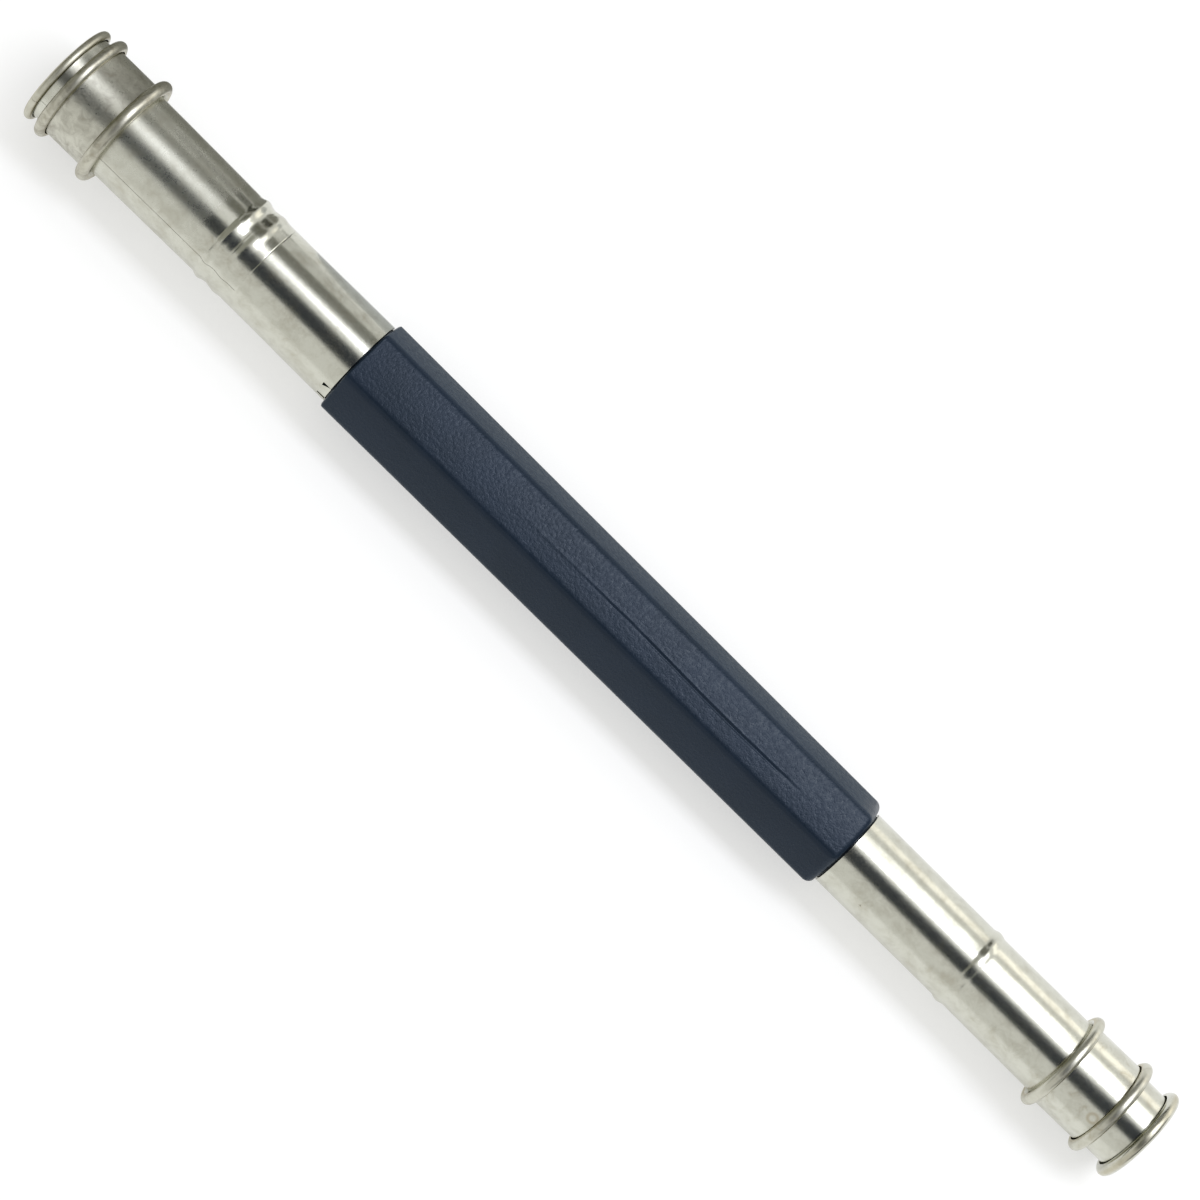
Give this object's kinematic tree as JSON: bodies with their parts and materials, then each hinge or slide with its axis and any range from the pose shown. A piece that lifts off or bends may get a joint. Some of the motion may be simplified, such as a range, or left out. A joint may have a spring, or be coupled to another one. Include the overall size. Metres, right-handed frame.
{
  "type": "pencil extender",
  "caption": "Double-ended pencil extender: hexagonal plastic barrel, a split metal ferrule at each end for two pencil sizes, and sliding clamp collars.",
  "frame": {"origin": "centre of the whole object's box, on the tubes' axis at the middle of the length", "axes": "+X along the axis from the larger mouth to the smaller mouth; +Z out of one flat of the hexagonal barrel; +Y across it"},
  "size_m": [0.165, 0.0142, 0.0142],
  "materials": {
    "barrel_plastic": "fine spark-eroded grain, slate navy",
    "ferrule_metal": "nickel-plated rolled sheet, satin bright",
    "collar_metal": "nickel-plated rolled sheet, slightly hazed"
  },
  "bodies": {
    "holder": {"barrel": "barrel_plastic", "big_ferrule": "ferrule_metal", "small_ferrule": "ferrule_metal"},
    "big_collar": {"big_collar": "collar_metal"},
    "small_collar": {"small_collar": "collar_metal"}
  },
  "joints": [
    {"name": "big_collar_slide", "type": "slide", "parent": "holder", "child": "big_collar", "axis": [-1, 0, 0], "range_m": [-0.015, 0.0009]},
    {"name": "small_collar_slide", "type": "slide", "parent": "holder", "child": "small_collar", "axis": [1, 0, 0], "range_m": [-0.0131, 0.0026]}
  ]
}
